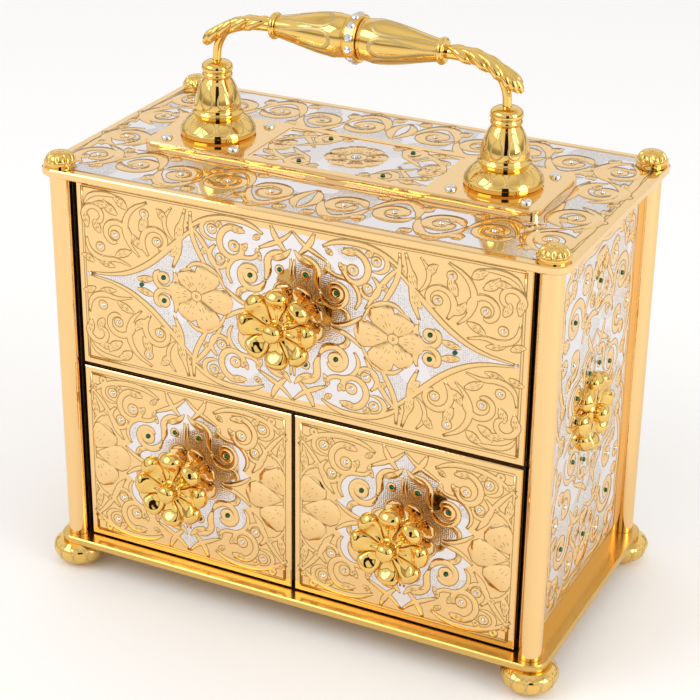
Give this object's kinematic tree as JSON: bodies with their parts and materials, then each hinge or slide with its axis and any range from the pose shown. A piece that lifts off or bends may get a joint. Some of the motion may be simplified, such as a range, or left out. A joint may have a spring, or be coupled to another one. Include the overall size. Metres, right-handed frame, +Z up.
{
  "type": "three-drawer jewellery casket",
  "caption": "Gilded footed casket with corner columns, stone-set engraved drawer fronts, flower-shaped knobs and an arched carrying handle on its lid plate.",
  "frame": {"origin": "middle of the footprint's bounding box, on the surface the four feet stand on", "axes": "+Z up, -Y towards the drawer fronts, +X to the right seen from the drawers"},
  "size_m": [0.249, 0.152, 0.2626],
  "materials": {
    "polished_gilt": "polished gilding",
    "engraved_gilt": "engraved gilding over matt silver grounds",
    "dark_wood": "dark stain, satin",
    "wine_velvet": "velvet pile",
    "steel_rod": "turned",
    "nickel_screw": "nickel plated",
    "green_stone": "polished",
    "clear_crystal": "faceted"
  },
  "bodies": {
    "case": {"base_plate": "polished_gilt", "top_plate": "engraved_gilt", "column_front_left": "polished_gilt", "column_front_right": "polished_gilt", "column_back_left": "polished_gilt", "column_back_right": "polished_gilt", "foot_front_left": "polished_gilt", "foot_front_right": "polished_gilt", "foot_back_left": "polished_gilt", "foot_back_right": "polished_gilt", "tie_rods": "steel_rod", "corner_rosettes": "polished_gilt", "side_panel_left": "engraved_gilt", "side_panel_right": "engraved_gilt", "back_panel": "polished_gilt", "inner_case": "dark_wood", "shelf_divider": "dark_wood", "centre_divider": "dark_wood", "side_rosette_left": "polished_gilt", "side_rosette_right": "polished_gilt", "handle_plate": "polished_gilt", "handle_insert": "engraved_gilt", "insert_stones": "green_stone", "insert_crystal": "clear_crystal", "plate_screws": "nickel_screw", "pedestal_left": "polished_gilt", "pedestal_right": "polished_gilt", "arm_left": "polished_gilt", "arm_right": "polished_gilt", "handle_nuts": "steel_rod", "grip_left": "polished_gilt", "grip_right": "polished_gilt", "grip_collars": "polished_gilt", "centre_ring": "polished_gilt", "ring_crystals": "clear_crystal", "grip_rod": "steel_rod"},
    "upper_drawer": {"upper_front": "engraved_gilt", "upper_tray": "dark_wood", "upper_lining": "wine_velvet", "upper_knob_stem": "polished_gilt", "upper_knob_sepals": "polished_gilt", "upper_knob_rosette": "polished_gilt", "upper_green_stones": "green_stone", "upper_clear_stones": "clear_crystal"},
    "lower_left_drawer": {"lower_left_front": "engraved_gilt", "lower_left_tray": "dark_wood", "lower_left_lining": "wine_velvet", "lower_left_knob_stem": "polished_gilt", "lower_left_knob_sepals": "polished_gilt", "lower_left_knob_rosette": "polished_gilt", "lower_left_green_stones": "green_stone", "lower_left_clear_stones": "clear_crystal"},
    "lower_right_drawer": {"lower_right_front": "engraved_gilt", "lower_right_tray": "dark_wood", "lower_right_lining": "wine_velvet", "lower_right_knob_stem": "polished_gilt", "lower_right_knob_sepals": "polished_gilt", "lower_right_knob_rosette": "polished_gilt", "lower_right_green_stones": "green_stone", "lower_right_clear_stones": "clear_crystal"}
  },
  "joints": [
    {"name": "upper_drawer_slide", "type": "slide", "parent": "case", "child": "upper_drawer", "axis": [0, -1, 0], "range_m": [0, 0.085]},
    {"name": "lower_left_drawer_slide", "type": "slide", "parent": "case", "child": "lower_left_drawer", "axis": [0, -1, 0], "range_m": [0, 0.085]},
    {"name": "lower_right_drawer_slide", "type": "slide", "parent": "case", "child": "lower_right_drawer", "axis": [0, -1, 0], "range_m": [0, 0.085]}
  ]
}
